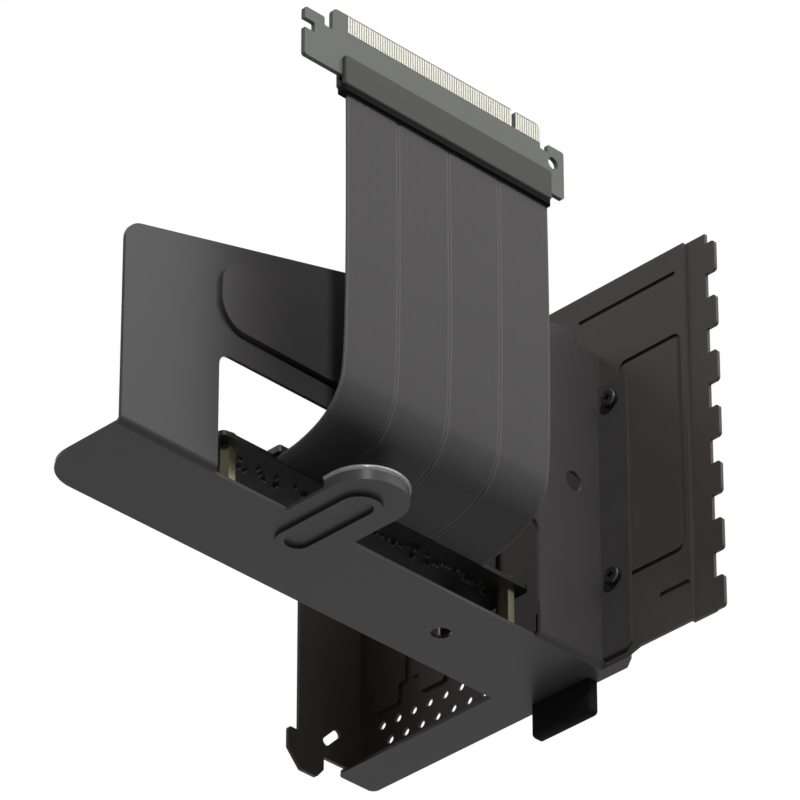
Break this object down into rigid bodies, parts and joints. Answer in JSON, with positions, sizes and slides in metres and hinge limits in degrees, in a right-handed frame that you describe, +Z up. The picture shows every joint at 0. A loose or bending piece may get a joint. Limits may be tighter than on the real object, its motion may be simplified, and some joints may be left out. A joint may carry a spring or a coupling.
{
  "type": "vertical graphics card mount",
  "caption": "Folded steel bracket with a slotted rear plate that holds a graphics card upright, with a flat ribbon riser.",
  "frame": {"origin": "on the back face of the rear plate, in the outer plane of the window plate, level with the lowest prong's middle", "axes": "+X out of the rear plate's back face towards the rear of the case, +Y from the ribbon side to the card side, +Z up"},
  "size_m": [0.2144, 0.1566, 0.1726],
  "materials": {
    "bracket_paint": "satin powder coat",
    "plate_paint": "satin powder coat",
    "pad_rubber": "matte",
    "screw_steel": "blackened",
    "post_brass": "satin",
    "board_black": "solder mask",
    "socket_plastic": "matte",
    "contact_gold": "plated",
    "ribbon_jacket": "woven jacket",
    "plug_board_mask": "solder mask",
    "shell_plastic": "matte"
  },
  "bodies": {
    "root": {"main_bracket": "bracket_paint", "rear_plate": "plate_paint", "rest_pad": "pad_rubber", "slot_cover_1": "plate_paint", "slot_cover_2": "plate_paint", "slot_cover_3": "plate_paint", "slot_cover_4": "plate_paint", "slot_cover_screws": "screw_steel", "tab_screws": "screw_steel", "board_posts": "post_brass", "board_screws": "screw_steel", "slot_board": "board_black", "card_socket": "socket_plastic", "socket_contacts": "contact_gold", "ribbon_clamp": "socket_plastic", "ribbon_1": "ribbon_jacket", "ribbon_2": "ribbon_jacket", "ribbon_3": "ribbon_jacket", "ribbon_4": "ribbon_jacket", "plug_board": "plug_board_mask", "plug_fingers": "contact_gold", "plug_seal": "pad_rubber", "plug_shell_front": "shell_plastic", "plug_shell_back": "shell_plastic"}
  },
  "joints": []
}
